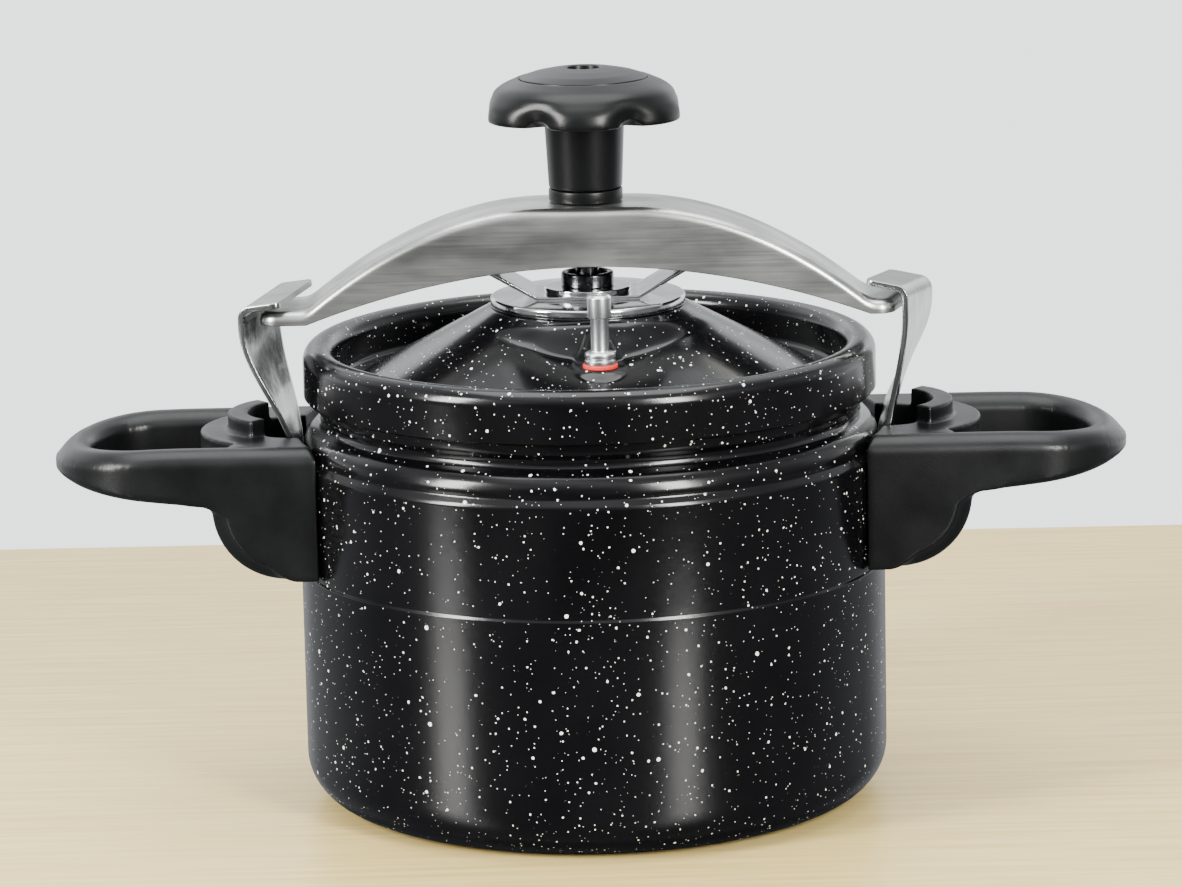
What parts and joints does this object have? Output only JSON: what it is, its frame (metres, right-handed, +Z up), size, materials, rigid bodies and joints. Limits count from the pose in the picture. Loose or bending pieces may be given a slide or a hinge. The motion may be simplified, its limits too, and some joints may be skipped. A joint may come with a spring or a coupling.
{
  "type": "stovetop pressure cooker",
  "caption": "Stovetop pressure cooker: enamelled pot and domed lid held by a screwed bridge under two twisted hooks, with loop handles.",
  "frame": {"origin": "middle of the underside of the pot, on the surface it stands on", "axes": "+Z up along the axis of the pot and of the clamp screw, +X towards the right handle, -Y towards the vent pipe"},
  "size_m": [0.402, 0.22, 0.2752],
  "materials": {
    "speckled_enamel": "aluminium under glossy black enamel with white speckles",
    "satin_steel": "satin rolled stainless steel",
    "polished_steel": "polished stainless steel",
    "aluminium_fastener": "headed aluminium rivet",
    "zinc_steel": "zinc plated steel",
    "blackened_steel": "blackened steel, shiny",
    "turned_aluminium": "turned aluminium",
    "black_thermoset": "moulded black thermoset, satin",
    "pale_silicone": "matte silicone",
    "red_silicone": "matte silicone",
    "brass_insert": "turned brass"
  },
  "bodies": {
    "pot": {"pot_shell": "speckled_enamel", "hook_left": "satin_steel", "hook_right": "satin_steel", "hook_rivets": "aluminium_fastener", "strap_nuts": "zinc_steel", "handle_left": "black_thermoset", "handle_right": "black_thermoset", "handle_washers": "zinc_steel", "handle_screws": "zinc_steel"},
    "lid": {"lid_shell": "speckled_enamel", "sealing_gasket": "pale_silicone", "pressure_disc": "polished_steel", "bridge_bracket": "polished_steel", "boss_washer": "satin_steel", "lid_boss": "zinc_steel", "boss_locknut": "zinc_steel", "swivel_collar": "blackened_steel", "vent_pipe": "turned_aluminium", "vent_washer": "red_silicone", "vent_nut": "zinc_steel", "safety_body": "turned_aluminium", "safety_washer": "red_silicone", "safety_nut": "zinc_steel", "safety_spring": "zinc_steel"},
    "plunger": {"safety_plunger": "zinc_steel"},
    "screw": {"clamp_screw": "blackened_steel", "knob_body": "black_thermoset", "knob_cap": "black_thermoset", "knob_collar": "black_thermoset", "knob_insert": "brass_insert"},
    "bridge": {"bridge_bow": "satin_steel", "bridge_bush": "zinc_steel", "bush_nut": "zinc_steel"}
  },
  "joints": [
    {"name": "lid_swing", "type": "hinge", "parent": "pot", "child": "lid", "pos_m": [0, 0, 0.17], "axis": [0, 0, 1], "range_deg": [0, 90]},
    {"name": "knob_turn", "type": "hinge", "parent": "lid", "child": "screw", "pos_m": [0, 0, 0.2], "axis": [0, 0, 1], "range_deg": [0, 600]},
    {"name": "bridge_drop", "type": "slide", "parent": "lid", "child": "bridge", "axis": [0, 0, -1], "range_m": [0, 0.005]},
    {"name": "safety_lift", "type": "slide", "parent": "lid", "child": "plunger", "axis": [0, 0, 1], "range_m": [0, 0.0025], "stiffness_N_per_m": 600, "deforming": ["safety_spring"]}
  ],
  "couplings": [
    {"joint": "bridge_drop", "follows": "knob_turn", "m_per_rad": 0.00047746}
  ]
}
